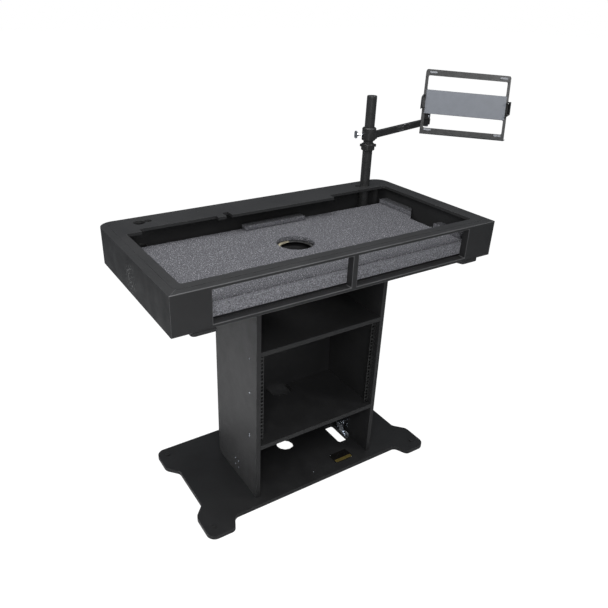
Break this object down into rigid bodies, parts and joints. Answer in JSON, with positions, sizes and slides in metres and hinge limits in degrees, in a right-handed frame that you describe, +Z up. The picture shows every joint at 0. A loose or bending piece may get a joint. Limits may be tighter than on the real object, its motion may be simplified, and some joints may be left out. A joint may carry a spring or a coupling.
{
  "type": "lectern podium",
  "caption": "Open-fronted pedestal lectern with a wide foam-lined equipment tray, a lobed base plate and a pole-mounted tilting laptop tray on a swivel arm.",
  "frame": {"origin": "on the floor, under the middle of the pedestal, on the base plate underside", "axes": "+Z up, +X to the right of somebody at the open front, -Y out of the open front towards that person"},
  "size_m": [1.7622, 0.7075, 1.383],
  "materials": {
    "black_paint": "fine-textured matt black coating on board",
    "black_steel": "satin black powder coat",
    "grey_steel": "matt grey coat",
    "zinc_steel": "bright zinc plate",
    "foam": "closed-cell charcoal foam",
    "raw_board": "raw cream board",
    "grey_rubber": "soft grey pads",
    "black_plastic": "matt black plastic",
    "label_film": "blank dark plate"
  },
  "bodies": {
    "lectern": {"back_left_base_bolt": "black_steel", "back_panel": "black_paint", "back_right_base_bolt": "black_steel", "back_top_cleat": "black_paint", "base_label_plate": "label_film", "base_plate": "black_paint", "equipment_board": "raw_board", "foam_back_bar": "foam", "foam_front_strip": "foam", "foam_left_back_bar": "foam", "foam_left_front_bar": "foam", "foam_mat": "foam", "foam_right_back_bar": "foam", "foam_right_front_bar": "foam", "front_fascia": "black_paint", "front_left_base_bolt": "black_steel", "front_right_base_bolt": "black_steel", "left_board_batten": "raw_board", "left_latch_body": "zinc_steel", "left_latch_keeper": "zinc_steel", "left_pole_socket": "black_steel", "left_rack_rail": "black_steel", "left_side_lining": "black_paint", "left_side_panel": "black_paint", "lower_shelf": "black_paint", "right_board_batten": "raw_board", "right_latch_body": "zinc_steel", "right_latch_keeper": "zinc_steel", "right_pole_socket": "black_steel", "right_rack_rail": "black_steel", "right_side_lining": "black_paint", "right_side_panel": "black_paint", "support_plate": "black_paint", "top_frame": "black_paint", "tray_floor": "black_paint", "tray_shell": "black_paint", "upper_shelf": "black_paint"},
    "left_latch": {"left_latch_lever": "zinc_steel"},
    "right_latch": {"right_latch_lever": "zinc_steel"},
    "pole": {"laptop_pole": "black_steel", "pole_cap": "black_plastic"},
    "collar": {"safety_collar": "black_steel"},
    "height_sleeve": {"clamp_liner": "black_plastic"},
    "arm": {"arm_clamp": "black_steel", "laptop_arm": "black_steel"},
    "knob": {"clamp_knob": "zinc_steel"},
    "post": {"swivel_post": "black_steel", "swivel_bolt": "zinc_steel", "tilt_pin": "zinc_steel"},
    "laptop_tray": {"tilt_bracket": "black_steel", "laptop_frame": "black_steel", "laptop_centre_plate": "grey_steel", "top_left_pad": "grey_rubber", "top_right_pad": "grey_rubber", "bottom_left_pad": "grey_rubber", "bottom_right_pad": "grey_rubber"},
    "left_clip": {"left_side_clip": "black_steel"},
    "right_clip": {"right_side_clip": "black_steel"}
  },
  "joints": [
    {"name": "left_latch_turn", "type": "hinge", "parent": "lectern", "child": "left_latch", "pos_m": [-0.2327, -0.003, 0.084], "axis": [0, -1, 0], "range_deg": [0, 110]},
    {"name": "right_latch_turn", "type": "hinge", "parent": "lectern", "child": "right_latch", "pos_m": [0.2327, -0.003, 0.084], "axis": [0, 1, 0], "range_deg": [0, 110]},
    {"name": "pole_lift", "type": "slide", "parent": "lectern", "child": "pole", "axis": [0, 0, 1], "range_m": [0, 0.12]},
    {"name": "collar_slide", "type": "slide", "parent": "pole", "child": "collar", "axis": [0, 0, 1], "range_m": [-0.12, 0.012]},
    {"name": "arm_height", "type": "slide", "parent": "pole", "child": "height_sleeve", "axis": [0, 0, 1], "range_m": [-0.012, 0.11]},
    {"name": "arm_swivel", "type": "hinge", "parent": "height_sleeve", "child": "arm", "pos_m": [0.474, 0.2725, 1.178], "axis": [0, 0, 1], "continuous": true},
    {"name": "clamp_knob_turn", "type": "hinge", "parent": "arm", "child": "knob", "pos_m": [0.43461, 0.27945, 1.178], "axis": [-0.9848, 0.1736, 0], "range_deg": [0, 360]},
    {"name": "tray_swivel", "type": "hinge", "parent": "arm", "child": "post", "pos_m": [0.89199, 0.39473, 1.19], "axis": [0, 0, 1], "range_deg": [0, 200]},
    {"name": "tray_tilt", "type": "hinge", "parent": "post", "child": "laptop_tray", "pos_m": [0.89199, 0.39473, 1.22], "axis": [0.829, -0.5592, 0], "range_deg": [-52, 1]},
    {"name": "left_clip_slide", "type": "slide", "parent": "laptop_tray", "child": "left_clip", "axis": [-0.8134, 0.5787, 0.0595], "range_m": [0, 0.01]},
    {"name": "right_clip_slide", "type": "slide", "parent": "laptop_tray", "child": "right_clip", "axis": [0.8134, -0.5787, -0.0595], "range_m": [0, 0.01]}
  ]
}
